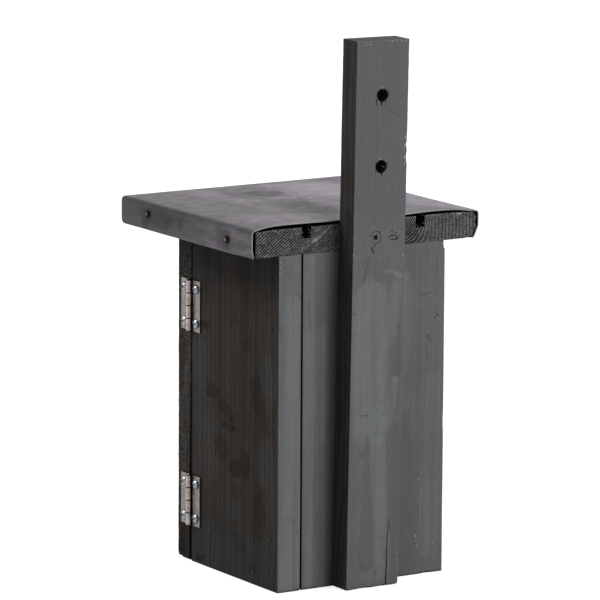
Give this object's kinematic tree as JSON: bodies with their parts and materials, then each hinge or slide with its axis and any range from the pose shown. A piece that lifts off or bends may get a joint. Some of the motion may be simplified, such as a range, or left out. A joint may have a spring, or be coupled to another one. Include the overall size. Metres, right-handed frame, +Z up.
{
  "type": "bird nest box",
  "caption": "Painted wooden bird nest box with a sheet-covered flat roof, a side-hinged front door with a round entrance hole, a turn-button catch and a tall rear batten for hanging it up.",
  "frame": {"origin": "middle of the floor board's underside, on the surface that the box stands on", "axes": "+Z up along the walls and the batten; +Y towards the batten's wall face; -Y out of the door; +X towards the hinges"},
  "size_m": [0.2071, 0.2155, 0.422],
  "materials": {
    "painted_wood": "thick grey brushed paint over planed softwood",
    "end_grain_wood": "thin grey paint with the growth rings showing on the sawn ends",
    "roof_metal": "dull dark grey sheet with cloudy weathering",
    "brown_nails": "dull brown",
    "hinge_steel": "satin nickel plating",
    "bright_zinc": "bright zinc plating",
    "painted_fixings": "painted over with the wood"
  },
  "bodies": {
    "box": {"hinge_side_wall": "painted_wood", "latch_side_wall": "painted_wood", "back_panel": "painted_wood", "floor_board": "painted_wood", "roof_board": "end_grain_wood", "mounting_batten": "painted_wood", "roof_sheet": "roof_metal", "roof_sheet_nails": "brown_nails", "roof_screws": "bright_zinc", "batten_roof_screw": "painted_fixings", "batten_staple": "painted_fixings", "batten_back_screws": "bright_zinc", "corner_brads": "painted_fixings", "floor_brads": "painted_fixings", "hinge_upper_wall_leaf": "hinge_steel", "hinge_upper_pin": "hinge_steel", "hinge_lower_wall_leaf": "hinge_steel", "hinge_lower_pin": "hinge_steel", "hinge_wall_screws": "bright_zinc", "turn_button_screw": "bright_zinc", "turn_button_washer": "bright_zinc"},
    "door": {"front_door": "painted_wood", "hinge_upper_door_leaf": "hinge_steel", "hinge_lower_door_leaf": "hinge_steel", "hinge_door_screws": "bright_zinc"},
    "catch": {"turn_button": "hinge_steel"}
  },
  "joints": [
    {"name": "door_hinge", "type": "hinge", "parent": "box", "child": "door", "pos_m": [0.07705, -0.054, 0.126], "axis": [0, 0, 1], "range_deg": [0, 150]},
    {"name": "catch_turn", "type": "hinge", "parent": "box", "child": "catch", "pos_m": [-0.06475, -0.07606, 0.13], "axis": [0, -1, 0], "continuous": true}
  ]
}
